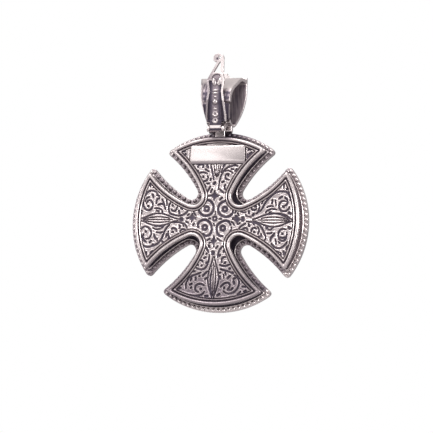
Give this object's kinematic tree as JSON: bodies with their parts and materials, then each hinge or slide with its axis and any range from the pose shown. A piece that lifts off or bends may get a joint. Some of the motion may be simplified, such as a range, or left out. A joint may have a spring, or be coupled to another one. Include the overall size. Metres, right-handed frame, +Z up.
{
  "type": "maltese cross pendant",
  "caption": "Cast silver cross pendant with flared arms, beaded edge and scroll relief, hung from a hinged bail whose back leaf opens.",
  "frame": {"origin": "where the chain sits, in the middle of the bail's width, against the inside of its arch", "axes": "+Z up, +X to the right as the ornamented back is seen, -Y out of the ornamented back"},
  "size_m": [0.0418, 0.0093, 0.0589],
  "materials": {
    "oxidised_silver": "cast sterling silver, polished on the high places and darkened by oxide in the hollows"
  },
  "bodies": {
    "bail": {"bail_front": "oxidised_silver", "cross_hinge_pin": "oxidised_silver", "leaf_hinge_pin": "oxidised_silver"},
    "cross": {"cross_casting": "oxidised_silver"},
    "back_leaf": {"bail_back_leaf": "oxidised_silver"}
  },
  "joints": [
    {"name": "cross_swing", "type": "hinge", "parent": "bail", "child": "cross", "pos_m": [0, 0.00023, -0.01145], "axis": [1, 0, 0], "range_deg": [-25, 25]},
    {"name": "leaf_opening", "type": "hinge", "parent": "bail", "child": "back_leaf", "pos_m": [0, -0.00445, -0.012], "axis": [1, 0, 0], "range_deg": [0, 60]}
  ]
}
